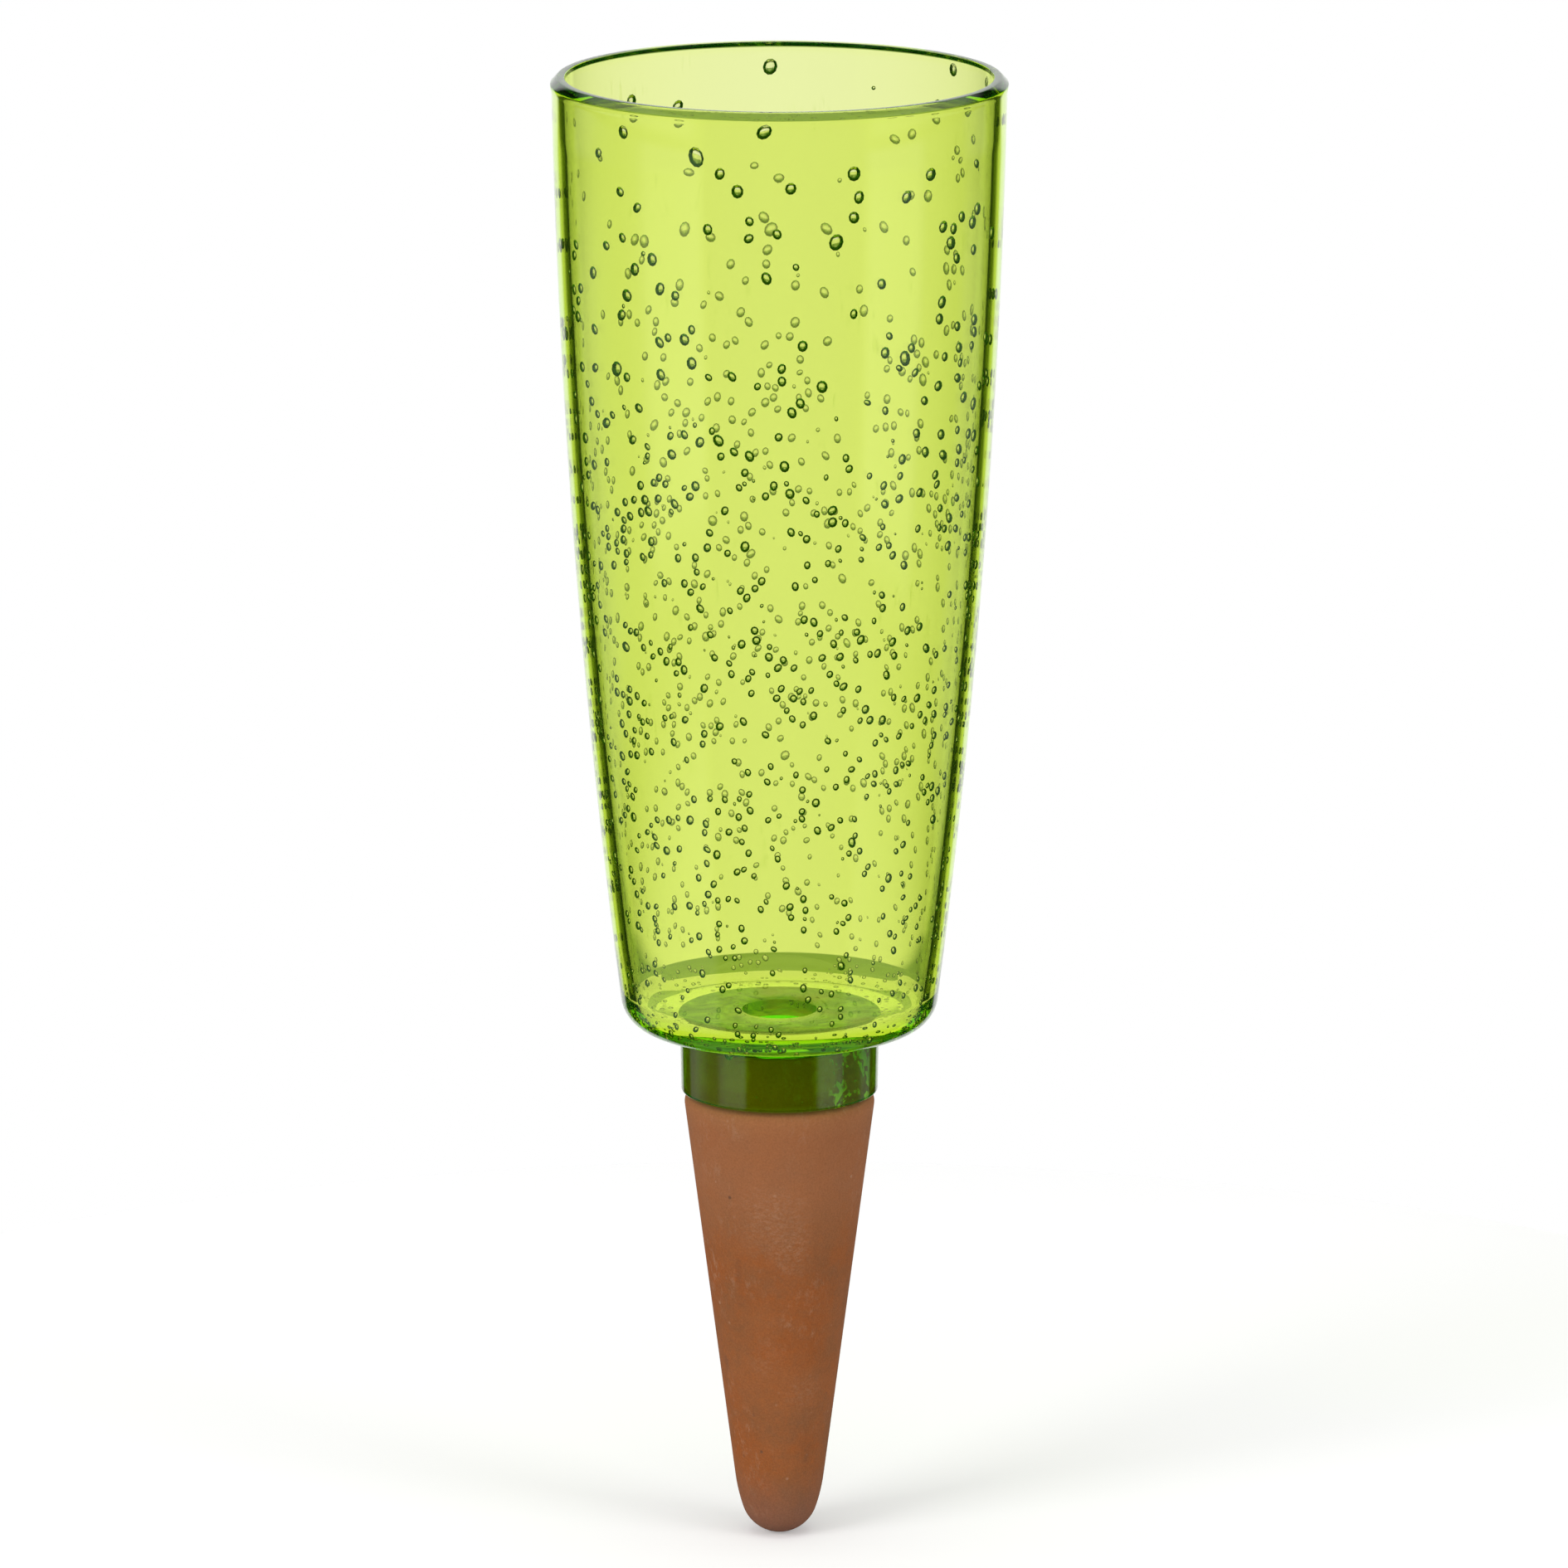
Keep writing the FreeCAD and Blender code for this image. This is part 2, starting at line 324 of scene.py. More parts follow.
# a bubble's skin has no depth of its own: the plastic around it keeps its colour across the bubble
bubbleLook = dict(
    tumblerLook,
    waveHeight=0.0,
    # painted shade: a bubble's darker edge tint, its dark crescent and its outline stand in for shade
    edgeTint=(0.6, 0.75, 0.3),
    edgePower=2.0,
    depthDensity=0.0,
    shadeTone=(0.028, 0.1, 0.002),
    shadeShare=0.88,      # of the painted shade crescent
    shadeLean=13.0,       # how fast the painted shade crescent turns towards the side edges, per metre
    shadeRingShare=0.8,        # of the painted shade outline
    farShare=0.45,        # how much fainter on the far side
)
collarLook = dict(tumblerLook, waveHeight=0.03, depthColor=(0.835, 0.985, 0.02),
                  depthDensity=900.0, edgeTint=(1.0, 1.0, 1.0))
adhesiveLook = dict(collarLook, waveHeight=0.12, depthColor=(0.8, 0.9, 0.3), depthDensity=300.0)
adhesiveLook["Wave Scale"] = 260.0
floorAdhesiveLook = dict(adhesiveLook, milky={
    "Scale": 210.0, "Detail": 5.0, "Upright": 1.0,
    "Thin": 0.3, "Thick": 0.6, "Least": 0.75, "Most": 1.0,
    "Deep Tone": (0.095, 0.29, 0.01, 1), "Pale Tone": (0.52, 0.76, 0.03, 1),
    "Thin Tone": (0.42, 0.31, 0.035, 1)})
# the sleeve round the neck has voids on one side only
neckAdhesiveLook = dict(adhesiveLook, milky={
    "Scale": 430.0, "Detail": 2.0, "Upright": 0.75,
    "Thin": 0.505, "Thick": 0.55, "Least": 0.0, "Most": 0.95,
    "Aim": (0.8, -0.6, 0.0), "Aim From": 0.0176, "Aim Full": 0.0182,
    "Deep Tone": (0.5, 0.5, 0.03, 1), "Pale Tone": (0.9, 0.85, 0.06, 1),
    "Thin Tone": (0.1, 0.16, 0.01, 1)})

tumblerPlastic = clearPlastic("greenTumblerPlastic", tumblerLook)
bubbleSkin = clearPlastic("bubbleSkin", bubbleLook)
collarPlastic = clearPlastic("greenCollarPlastic", collarLook)
neckAdhesive = clearPlastic("clearNeckAdhesive", neckAdhesiveLook)
floorAdhesive = clearPlastic("cloudyFloorAdhesive", floorAdhesiveLook)

clayLook = dict(
    base=(0.286, 0.0945, 0.0288),
    # tone, noise scale, detail, roughness, where it starts and is full, share
    clouds=[
        ((0.285, 0.08, 0.018), 38.0, 5.0, 0.6, 0.4, 0.6, 1.0),      # ruddy
        ((0.212, 0.086, 0.034), 58.0, 5.0, 0.7, 0.44, 0.66, 0.9),   # dull
        ((0.212, 0.086, 0.034), 620.0, 4.0, 0.7, 0.35, 0.75, 0.45),
    ],
    # tone, heights where it starts and is full, share
    zones=[
        ((0.32, 0.128, 0.056), -32.0, -16.0, 0.6),      # duller in the upper third
        ((0.36, 0.15, 0.058), -4.0, 1.5, 0.45),         # painted light: lighter just under the collar and on the neck inside it, making up for the light the collar holds back
        ((0.215, 0.098, 0.062), -83.0, -98.0, 0.85),    # nose
    ],
    zoneWander=6.0,
    groove=(-1.4, -0.6, 0.7),       # heights and share of the painted shade in the groove under the collar
    grooveEnd=(-0.1, 0.3),
    scuff=(0.44, 0.27, 0.175),
    # dark specks; the same tone is the painted shade in the groove under the collar
    speckAndShade=(0.13, 0.062, 0.035),
    # place, reach and share of the patches rubbed by handling
    rubbed=[
        (-2.0, -21.0, -27.0, 11.0, 0.5), (3.0, -20.0, -34.0, 7.0, 0.4),
        (7.0, -14.0, -69.0, 7.0, 0.45), (-4.0, -17.0, -60.0, 6.0, 0.3),
        (6.0, 20.0, -30.0, 10.0, 0.3), (-16.0, 9.0, -52.0, 8.0, 0.3),
    ],
    roughness=(0.82, 0.96),
    grainScale=2300.0,
    grainHeight=0.045,
    grainTone=(0.86, 1.12),
)


def clayMaterial(look):
    material, tree = newMaterial("terracotta")
    place = addNode(tree, "ShaderNodeTexCoord").outputs["Object"]
    height = addNode(tree, "ShaderNodeSeparateXYZ", {0: place}).outputs["Z"]

    def noise(scale, detail=2.0, roughness=0.5, vector=place):
        return addNode(tree, "ShaderNodeTexNoise", {
            "Vector": vector, "Scale": scale, "Detail": detail,
            "Roughness": roughness}).outputs["Fac"]

    def between(value, low, high, toLow=0.0, toHigh=1.0):
        return addNode(tree, "ShaderNodeMapRange", {
            "Value": value, "From Min": low, "From Max": high,
            "To Min": toLow, "To Max": toHigh}).outputs[0]

    def compute(operation, *values):
        return addNode(tree, "ShaderNodeMath", dict(enumerate(values)), operation=operation).outputs[0]

    def drawn(stretch):
        return addNode(tree, "ShaderNodeVectorMath", {
            0: place, 1: stretch}, operation="MULTIPLY").outputs[0]

    def laid(share, under, over):
        # colour over colour by this share
        tones = [tone if isinstance(tone, bpy.types.NodeSocket) else (*tone, 1)
                 for tone in (under, over)]
        return addNode(tree, "ShaderNodeMix", {
            0: share, 6: tones[0], 7: tones[1]}, data_type="RGBA").outputs[2]

    def dots(scale, edge, centre, share, where):
        # small round marks, only where this mask allows them
        cells = addNode(tree, "ShaderNodeTexVoronoi", {"Vector": place, "Scale": scale})
        marks = between(cells.outputs["Distance"], edge, centre, 0.0, share)
        return compute("MULTIPLY", marks, where)

    # fired clay is uneven: ruddy clouds, duller ones and fine mottling
    colour = look["base"]
    for tone, scale, detail, roughness, low, high, share in look["clouds"]:
        colour = laid(between(noise(scale, detail, roughness), low, high, 0.0, share), colour, tone)
    edge = noise(120.0, 3.0)
    wander = compute("MULTIPLY_ADD", edge, look["zoneWander"] * mm, height)
    # bands by height: duller in the upper third, painted light just under the collar and on the neck
    # inside it, another tone at the nose
    for tone, low, high, share in look["zones"]:
        colour = laid(between(wander, low * mm, high * mm, 0.0, share), colour, tone)
    bare = colour
    # painted shade: the groove under the collar darkened towards the speck tone
    low, high, share = look["groove"]
    colour = laid(between(height, low * mm, high * mm, 0.0, share), colour, look["speckAndShade"])
    low, high = look["grooveEnd"]
    colour = laid(between(height, low * mm, high * mm), colour, bare)   # the neck inside the collar, without the painted shade
    # dusty scuffs where it was handled, drawn out up and down
    upright = drawn((1.0, 1.0, 0.55))
    where = between(noise(40.0, 3.0), 0.47, 0.62)
    scratches = between(noise(520.0, 5.0, 0.8, upright), 0.52, 0.7, 0.0, 0.42)
    colour = laid(compute("MULTIPLY", scratches, where), colour, look["scuff"])
    # patches of fine strokes across
    strokes = between(noise(1500.0, 5.0, 0.85, drawn((0.5, 0.5, 1.0))), 0.45, 0.7)
    for x, y, z, reach, share in look["rubbed"]:
        away = addNode(tree, "ShaderNodeVectorMath", {
            0: place, 1: (x * mm, y * mm, z * mm)}, operation="DISTANCE").outputs["Value"]
        patch = compute("MULTIPLY_ADD", edge, reach * mm, away)
        patch = between(patch, 1.5 * reach * mm, 0.6 * reach * mm, 0.0, share)
        colour = laid(compute("MULTIPLY", strokes, patch), colour, look["scuff"])
    dust = dots(330.0, 0.16, 0.08, 0.55, between(noise(65.0), 0.56, 0.62))
    colour = laid(dust, colour, look["scuff"])
    pits = dots(260.0, 0.14, 0.07, 0.8, between(noise(90.0), 0.6, 0.66))
    colour = laid(pits, colour, look["speckAndShade"])
    smudge = between(noise(95.0, 3.0, 0.6, upright), 0.66, 0.78, 0.0, 0.5)
    colour = laid(smudge, colour, look["speckAndShade"])

    grain = noise(look["grainScale"], 4.0, 0.7)
    grainTone = between(grain, 0.3, 0.7, *look["grainTone"])
    colour = addNode(tree, "ShaderNodeVectorMath", {
        0: colour, "Scale": grainTone}, operation="SCALE").outputs[0]
    relief = compute("MULTIPLY_ADD", noise(160.0, 3.0), 2.0, grain)
    relief = compute("MULTIPLY_ADD", pits, -1.5, relief)
    bump = addNode(tree, "ShaderNodeBump", {
        "Height": relief, "Distance": look["grainHeight"] * mm, "Strength": 1.0})
    clay = addNode(tree, "ShaderNodeBsdfPrincipled", {
        "Base Color": colour, "Roughness": between(noise(300.0), 0.3, 0.7, *look["roughness"]),
        "Specular IOR Level": 0.25, "Normal": bump.outputs["Normal"]})
    # left out of what the tumbler's foot reflects inside itself: only light shows there
    path = addNode(tree, "ShaderNodeLightPath")
    glanced = compute("GREATER_THAN", path.outputs["Glossy Depth"], 0.5)
    inPlastic = compute("GREATER_THAN", path.outputs["Transmission Depth"], 1.5)
    clear = addNode(tree, "ShaderNodeBsdfTransparent", {"Color": (1.0, 1.0, 1.0, 1.0)})
    surface = addNode(tree, "ShaderNodeMixShader", {
        0: compute("MULTIPLY", glanced, inPlastic), 1: clay.outputs["BSDF"], 2: clear.outputs["BSDF"]})
    addNode(tree, "ShaderNodeOutputMaterial", {"Surface": surface.outputs["Shader"]})
    return material


terracotta = clayMaterial(clayLook)
print("materials ready")


tumbler = dict(
    wallCentre=(-1892.573, 260.510),   # the outside of the wall is a long arc about this point
    wallRadius=1942.618,
    wall=3.0,
    underside=14.85,
    floorTop=18.4,
    rimTop=228.15,
    lipRadius=50.0,
    lipOverhang=0.28,
    lipDrop=1.7,
    chamfer=1.5,
    footRound=7.2,
    cove=6.0,
    brinkRound=0.39,
    drain=8.3,
    edgeSoftening=0.18,
    turns=192,
)


def onWall(inset, height):
    # radius of the wall's circle, moved in by inset, at this height
    centre = tumbler["wallCentre"]
    reach = tumbler["wallRadius"] - inset
    return centre[0] + math.sqrt(reach**2 - (height - centre[1]) ** 2)


def angleAt(centre, radius, height):
    return math.degrees(math.atan2(height - centre[1], radius - centre[0]))


def buildTumblerShell(t):
    bm = bmesh.new()
    centre = t["wallCentre"]
    footLevel = t["underside"] + t["footRound"]
    footCentre = (onWall(t["footRound"], footLevel), footLevel)
    coveLevel = t["floorTop"] + t["cove"]
    coveCentre = (onWall(t["wall"] + t["cove"], coveLevel), coveLevel)
    brinkLevel = t["rimTop"] - t["brinkRound"]
    brinkCentre = (onWall(t["wall"] - t["brinkRound"], brinkLevel), brinkLevel)
    footAngle = angleAt(centre, *footCentre)
    coveAngle = angleAt(centre, *coveCentre)
    brinkAngle = angleAt(centre, *brinkCentre)
    lipLevel = t["rimTop"] - t["chamfer"]
    lipFoot = (t["lipRadius"] - t["lipOverhang"], lipLevel - t["lipDrop"])
    lipCurve = (t["lipDrop"] ** 2 + t["lipOverhang"] ** 2) / (2 * t["lipOverhang"])
    lipCentre = (t["lipRadius"] - lipCurve, lipLevel)
    lipAngle = angleAt(lipCentre, *lipFoot)
    lipFootAngle = angleAt(centre, *lipFoot)

    start = startAt(bm, t["drain"], t["underside"])
    v = lineTo(bm, start, t["drain"], t["floorTop"], pieces=2)
    v = lineTo(bm, v, coveCentre[0], t["floorTop"], pieces=4)
    v = arcTo(bm, v, coveCentre, 90 + coveAngle, pieces=9)
    v = arcTo(bm, v, centre, brinkAngle - coveAngle, pieces=18)
    v = arcTo(bm, v, brinkCentre, -90 - brinkAngle, pieces=5)
    v = lineTo(bm, v, t["lipRadius"] - t["chamfer"], t["rimTop"])
    v = lineTo(bm, v, t["lipRadius"], lipLevel)
    v = arcTo(bm, v, lipCentre, lipAngle, pieces=3)
    v = arcTo(bm, v, centre, footAngle - lipFootAngle, pieces=18)
    v = arcTo(bm, v, footCentre, -90 - footAngle, pieces=14)
    lineTo(bm, v, t["drain"], t["underside"], pieces=5)
    turnSection(bm, t["turns"])
    softenRings(bm, [
        (t["lipRadius"], lipLevel), (t["lipRadius"] - t["chamfer"], t["rimTop"]),
        (t["drain"], t["floorTop"]),
    ], t["edgeSoftening"])
    return bm


# Bubbles: few and large near the rim, many and small further down
bubbles = dict(
    seed=11,
    # height, bubbles in one row step of height all round, usual diameter
    rows=[
        (228, 3, 2.55), (221, 20, 2.55), (206, 36, 2.45), (191, 46, 2.35), (176, 70, 2.2),
        (161, 108, 2.05), (146, 165, 1.88), (131, 184, 1.78), (116, 182, 1.71), (101, 184, 1.65),
        (86, 192, 1.59), (71, 172, 1.55), (56, 160, 1.48), (41, 154, 1.42), (26, 138, 1.32),
    ],
    rowStep=15.0,
    underRim=3.2,        # the highest lie this far under the rim's top
    lowest=21.5,         # height of the lowest in the wall
    sizeSpread=0.13,
    tinyShare=0.12,
    tinySizes=(0.35, 0.6),
    chainShare=0.16,     # how many start close to the last one
    chainReach=(1.15, 2.6),
    chainRadius=42.0,    # about the wall's own radius
    apart=0.12,
    skin=0.22,           # plastic left over a bubble
    fattest=2.45,        # across the wall
    flattest=0.85,       # a bubble is never rounder than this across the wall
    tries=6000,
    floorCount=150,
    floorTries=4000,
    floorDiameter=1.15,
    floorSizes=(0.5, 1.25),
    floorRings=((10, 24), (23, 30)),   # one in four lies in the inner ring
    floorSkin=0.3,
    floorDepth=3.3,
    footCount=150,
    footSizes=(0.4, 1.3),
    footSlopes=(5, 85),
    footDepth=2.8,
    # the cluster near the top: degrees round from +X, height, then each one's radius, turn and rise
    clump=(-55.0, 173.0, ((1.5, 0.0, 0.0), (1.0, 0.035, 2.1), (0.8, -0.03, -2.0))),
    ballRings=5,
    ballSides=(8, 10),   # the plainer ball for the small ones
    smallRadius=0.75,
    tilt=0.4,
    breadths=(0.86, 0.98),
    heights=(1.04, 1.2),
)


def rowAt(height):
    rows = bubbles["rows"]
    for high, low in zip(rows, rows[1:]):
        if high[0] >= height >= low[0]:
            share = (high[0] - height) / (high[0] - low[0])
            return [a + (b - a) * share for a, b in zip(high, low)]
    return rows[-1]


class BubbleField:
    cell = 4   # millimetres, wider than any two bubbles that could touch

    def __init__(self):
        self.kept = []
        self.cells = {}

    def cellOf(self, spot):
        return tuple(int(c // self.cell) for c in spot)

    def fits(self, spot, radius):
        x, y, z = self.cellOf(spot)
        for i in (-1, 0, 1):
            for j in (-1, 0, 1):
                for k in (-1, 0, 1):
                    for other, size in self.cells.get((x + i, y + j, z + k), ()):
                        if (other - spot).length < radius + size + bubbles["apart"]:
                            return False
        return True

    def keep(self, spot, radius, squash, turn):
        self.kept.append((spot, radius, squash, turn))
        self.cells.setdefault(self.cellOf(spot), []).append((spot, radius))


def spotAt(around, turn, height):
    return Vector((around * math.cos(turn), around * math.sin(turn), height))


def fillWall(field, rng):
    b = bubbles
    top, bottom, step = tumbler["rimTop"] - b["underRim"], b["lowest"], b["rowStep"]
    middle = tumbler["wall"] / 2
    levels = int((top - bottom) / step) + 1
    for level in range(levels):
        high = top - level * step
        low = max(high - step, bottom)
        _, count, usual = rowAt((high + low) / 2)
        wanted = count * (high - low) / step
        made = 0
        last = None
        tries = 0
        while made < wanted and tries < b["tries"]:
            tries += 1
            size = usual * math.exp(rng.gauss(0, b["sizeSpread"]))
            if rng.random() < b["tinyShare"]:
                size *= rng.uniform(*b["tinySizes"])
            radius = size / 2
            if last and rng.random() < b["chainShare"]:
                reach = rng.uniform(*b["chainReach"]) * usual
                way = rng.uniform(0, math.tau)
                turn = last[0] + reach * math.cos(way) / b["chainRadius"]
                height = last[1] + reach * math.sin(way)
            else:
                turn = rng.uniform(0, math.tau)
                height = rng.uniform(low, high)
            if not bottom < height < top:
                last = None
                continue
            squash = min(b["flattest"], b["fattest"] / size)
            slack = middle - b["skin"] - radius * squash
            inset = middle + rng.uniform(-slack, slack)
            spot = spotAt(onWall(inset, height), turn, height)
            if not field.fits(spot, radius):
                continue
            field.keep(spot, radius, squash, turn)
            last = (turn, height)
            made += 1


def fillFloor(field, rng):
    b = bubbles
    inner, outer = b["floorRings"]
    made = 0
    tries = 0
    while made < b["floorCount"] and tries < b["floorTries"]:
        tries += 1
        radius = b["floorDiameter"] * rng.uniform(*b["floorSizes"]) / 2
        around = rng.uniform(*inner) if made % 4 == 0 else rng.uniform(*outer)
        turn = rng.uniform(0, math.tau)
        margin = b["floorSkin"] + radius
        height = tumbler["underside"] + rng.uniform(margin, b["floorDepth"] - margin)
        spot = spotAt(around, turn, height)
        if field.fits(spot, radius):
            field.keep(spot, radius, 1.0, turn)
            made += 1


def fillFoot(field, rng):
    # in the rounded foot, between its outer round and the cove
    b = bubbles
    low = tumbler["underside"] + tumbler["footRound"]
    centre = onWall(tumbler["footRound"], low)
    shallow, steep = (math.radians(degrees) for degrees in b["footSlopes"])
    made = 0
    tries = 0
    while made < b["footCount"] and tries < b["tries"]:
        tries += 1
        radius = b["floorDiameter"] * rng.uniform(*b["footSizes"]) / 2
        slope = rng.uniform(shallow, steep)
        reach = tumbler["footRound"] - rng.uniform(b["floorSkin"] + radius, b["footDepth"] - radius)
        turn = rng.uniform(0, math.tau)
        spot = spotAt(centre + reach * math.cos(slope), turn, low - reach * math.sin(slope))
        if field.fits(spot, radius):
            field.keep(spot, radius, 1.0, turn)
            made += 1


def blowBubbles(bm, kept, rng):
    # kept holds place, radius, squash across the wall and turn about the axis
    b = bubbles
    balls = []
    for sides in b["ballSides"]:
        ball = bmesh.new()
        bmesh.ops.create_uvsphere(ball, u_segments=sides, v_segments=b["ballRings"], radius=mm)
        bmesh.ops.reverse_faces(ball, faces=ball.faces)   # a bubble's faces look into the bubble
        balls.append(ball)
    mesh = bpy.data.meshes.new("bubble")
    for spot, radius, squash, turn in kept:
        lean = Matrix.Rotation(turn, 4, "Z") @ Matrix.Rotation(rng.gauss(0, b["tilt"]), 4, "X")
        shape = Matrix.Diagonal((squash, rng.uniform(*b["breadths"]), rng.uniform(*b["heights"]), 1))
        one = balls[radius > b["smallRadius"]].copy()
        bmesh.ops.transform(one, verts=one.verts, matrix=(
            Matrix.Translation(spot * mm) @ lean @ shape @ Matrix.Scale(radius, 4)))
        for face in one.faces:
            face.material_index = 1
        one.to_mesh(mesh)
        one.free()
        bm.from_mesh(mesh)
    for ball in balls:
        ball.free()
    bpy.data.meshes.remove(mesh)


def addBubbles(bm):
    rng = random.Random(bubbles["seed"])
    field = BubbleField()
    degrees, level, members = bubbles["clump"]
    for radius, aside, rise in members:
        turn = math.radians(degrees) + aside
        height = level + rise
        squash = min(1.0, bubbles["fattest"] / (2 * radius))
        field.keep(spotAt(onWall(tumbler["wall"] / 2, height), turn, height), radius, squash, turn)
    fillWall(field, rng)
    fillFloor(field, rng)
    fillFoot(field, rng)
    blowBubbles(bm, field.kept, rng)
    print("bubbles", len(field.kept))


tumblerShell = buildTumblerShell(tumbler)
addBubbles(tumblerShell)
tumblerPiece = makePiece("bubbleTumbler", tumblerShell, tumblerPlastic,
                         "reservoir", sharpDegrees=60)
tumblerPiece.data.materials.append(bubbleSkin)
print("tumbler built")


collar = dict(
    height=14.6,
    footRadius=21.9,
    topRadius=22.16,
    footRound=0.5,
    socket=18.8,
    web=12.0,
    drain=8.3,
    softening=0.15,
    turns=160,
    # air pockets near the top: degrees round from +X, height, radius
    pockets=[(-122.0, 12.7, 1.35), (-61.5, 13.1, 0.85), (-53.0, 13.3, 0.75), (-97.0, 13.6, 0.3),
             (-104.0, 3.4, 0.22), (-101.5, 2.7, 0.16), (-76.0, 2.2, 0.18), (35.0, 12.9, 1.1),
             (150.0, 13.0, 0.9)],
    pocketRing=20.45,    # radius on which they lie
    pocketSquash=0.8,
    seed=3,
    # the side is cut close to either end, which keeps its mirror images straight:
    # share of the height, and pieces up to there
    sideCuts=[(0.02, 1), (0.97, 3), (1.0, 1)],
)


def buildCollar(c):
    bm = bmesh.new()
    start = startAt(bm, c["socket"], 0)
    v = lineTo(bm, start, c["footRadius"] - c["footRound"], 0)
    v = arcTo(bm, v, (c["footRadius"] - c["footRound"], c["footRound"]), 90, pieces=5)
    for share, pieces in c["sideCuts"]:
        v = lineTo(bm, v, c["footRadius"] + (c["topRadius"] - c["footRadius"]) * share,
                   c["footRound"] + (c["height"] - c["footRound"]) * share, pieces)
    v = lineTo(bm, v, c["drain"], c["height"], pieces=3)
    v = lineTo(bm, v, c["drain"], c["web"])
    v = lineTo(bm, v, c["socket"], c["web"], pieces=3)
    lineTo(bm, v, c["socket"], 0, pieces=3)
    turnSection(bm, c["turns"])
    softenRings(bm, [
        (c["topRadius"], c["height"]), (c["socket"], 0), (c["drain"], c["web"]),
    ], c["softening"])
    return bm


def addPockets(bm, c):
    kept = []
    for degrees, height, radius in c["pockets"]:
        turn = math.radians(degrees)
        kept.append((spotAt(c["pocketRing"], turn, height), radius, c["pocketSquash"], turn))
    blowBubbles(bm, kept, random.Random(c["seed"]))


collarShell = buildCollar(collar)
addPockets(collarShell, collar)
collarPiece = makePiece("socketCollar", collarShell, collarPlastic,
                        "socket_collar", sharpDegrees=60)
collarPiece.data.materials.append(bubbleSkin)

# both adhesives reach this far into the pieces they hold, so that no faces coincide
bite = 0.02
floorBond = dict(low=14.6, high=14.85, beadRadius=22.66, topRadius=22.16, drain=8.3, turns=160)
neckBond = dict(socket=18.8, neck=18.5, filmEnd=14.3, top=12.0, neckTop=11.7, neckRound=0.8,
                beadTop=20.5, beadFoot=20.0, shoulder=-0.3, turns=160)


def buildFloorBond(b):
    bm = bmesh.new()
    start = startAt(bm, b["drain"] + bite, b["low"] - bite)
    v = lineTo(bm, start, b["topRadius"] - bite, b["low"] - bite, pieces=6)
    v = lineTo(bm, v, b["beadRadius"], b["high"] + bite, pieces=2)
    v = lineTo(bm, v, b["drain"] + bite, b["high"] + bite, pieces=6)
    lineTo(bm, v, b["drain"] + bite, b["low"] - bite)
    turnSection(bm, b["turns"])
    return bm


def buildNeckBond(b):
    bm = bmesh.new()
    start = startAt(bm, b["filmEnd"], b["top"] + bite)
    v = lineTo(bm, start, b["socket"] + bite, b["top"] + bite)
    v = lineTo(bm, v, b["socket"] + bite, bite, pieces=4)
    v = lineTo(bm, v, b["beadTop"], bite)
    v = lineTo(bm, v, b["beadFoot"], b["shoulder"] - bite)
    v = lineTo(bm, v, b["neck"] - bite, b["shoulder"] - bite)
    v = lineTo(bm, v, b["neck"] - bite, b["neckTop"] - b["neckRound"], pieces=4)
    v = arcTo(bm, v, (b["neck"] - bite - b["neckRound"], b["neckTop"] - b["neckRound"]), 90, pieces=4)
    v = lineTo(bm, v, b["filmEnd"], b["neckTop"] - bite)
    lineTo(bm, v, b["filmEnd"], b["top"] + bite)
    turnSection(bm, b["turns"])
    return bm


makePiece("floorAdhesive", buildFloorBond(floorBond), floorAdhesive, "base_bond")
makePiece("neckAdhesive", buildNeckBond(neckBond), neckAdhesive, "neck_bond")
print("collar and adhesive built")


cone = dict(
    neck=18.5,
    neckTop=11.7,
    mouth=13.5,
    neckRound=0.8,
    shoulder=-0.3,
    shoulderRadius=21.5,
    shoulderRound=2.5,
    tip=-103.0,
    noseRadius=8.63,
    noseSwell=0.59,
    noseBlend=39.6,
    noseWall=6.0,
    chamberEnd=4.0,
    shoulderShare=0.95,   # of the shoulder's width, at most, goes into its round
    turns=160,
)


